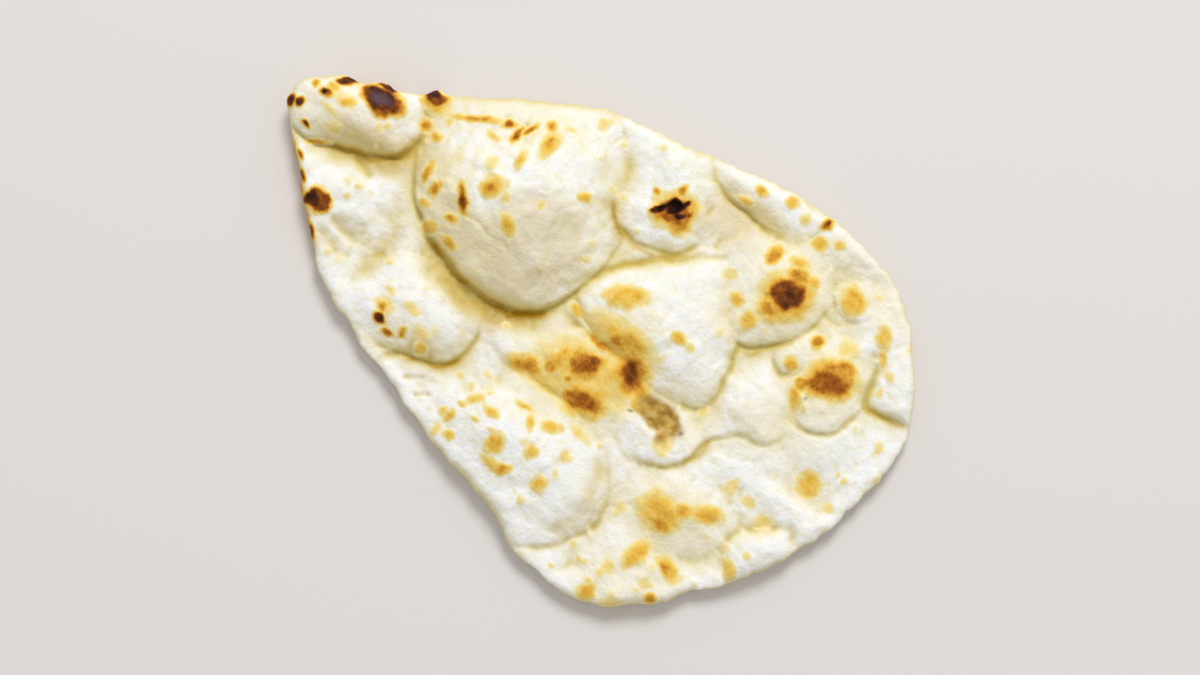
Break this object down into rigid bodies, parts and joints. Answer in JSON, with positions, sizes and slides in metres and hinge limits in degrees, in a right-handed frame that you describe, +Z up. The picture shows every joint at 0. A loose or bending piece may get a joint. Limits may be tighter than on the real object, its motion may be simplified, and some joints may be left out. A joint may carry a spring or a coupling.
{
  "type": "naan",
  "caption": "Teardrop-shaped naan flatbread, puffed into uneven bubbles on top, with pinched creases and toasted spots, lying on a flat underside.",
  "frame": {"origin": "middle of the bread's plan, on the surface that it lies on", "axes": "+X from the pointed tip towards the broad end, +Z up, +Y to the side that has the tallest bubble"},
  "size_m": [0.2998, 0.1963, 0.0304],
  "materials": {
    "naan_crust": "dry, floury baked dough with golden, brown and charred spots"
  },
  "bodies": {
    "root": {"naan": "naan_crust"}
  },
  "joints": []
}
